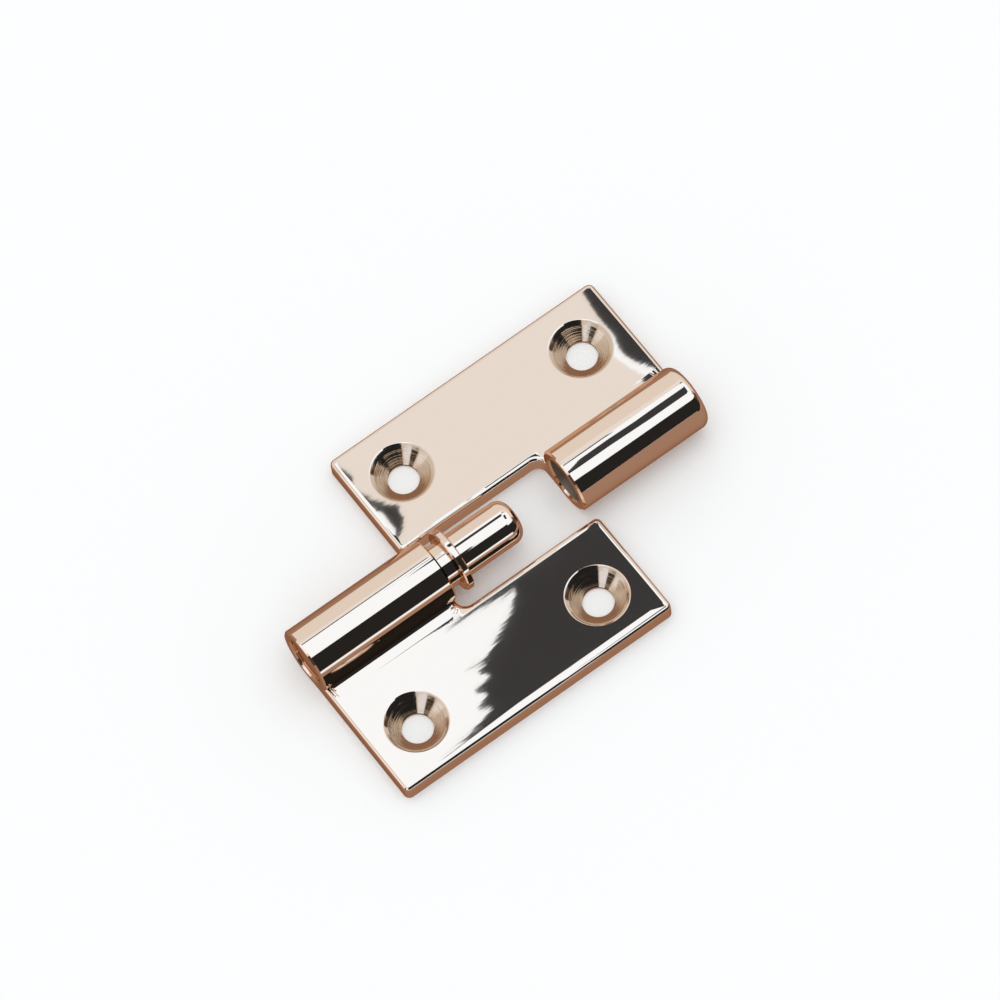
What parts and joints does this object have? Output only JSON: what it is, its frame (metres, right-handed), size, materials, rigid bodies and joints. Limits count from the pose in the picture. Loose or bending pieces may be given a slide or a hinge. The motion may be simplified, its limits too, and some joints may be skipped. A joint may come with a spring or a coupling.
{
  "type": "lift off hinge",
  "caption": "Polished lift off hinge, taken apart: a notched leaf with a fixed pin and loose washer, and a matching leaf with a blind socket that slides off it.",
  "frame": {"origin": "midway between the pin leaf's two screw holes, on its flat back", "axes": "+X along the hinge pin towards its free end, +Y from the pin leaf to the socket leaf, +Z out of the countersunk faces, away from the backs"},
  "size_m": [0.0729, 0.052, 0.0108],
  "materials": {
    "polished_leaf": "mirror polished, with a rose copper tone",
    "polished_pin": "turned and polished, with a rose copper tone",
    "polished_washer": "turned and polished, with a rose copper tone"
  },
  "bodies": {
    "pin_leaf": {"pin_leaf": "polished_leaf", "hinge_pin": "polished_pin"},
    "washer": {"washer": "polished_washer"},
    "socket_leaf": {"socket_leaf": "polished_leaf"}
  },
  "joints": [
    {"name": "leaf_swing", "type": "hinge", "parent": "pin_leaf", "child": "washer", "pos_m": [0.0025, 0.0175, 0.0054], "axis": [1, 0, 0], "range_deg": [-100, 180]},
    {"name": "lift_off", "type": "slide", "parent": "washer", "child": "socket_leaf", "axis": [1, 0, 0], "range_m": [-0.02055, 0]}
  ]
}
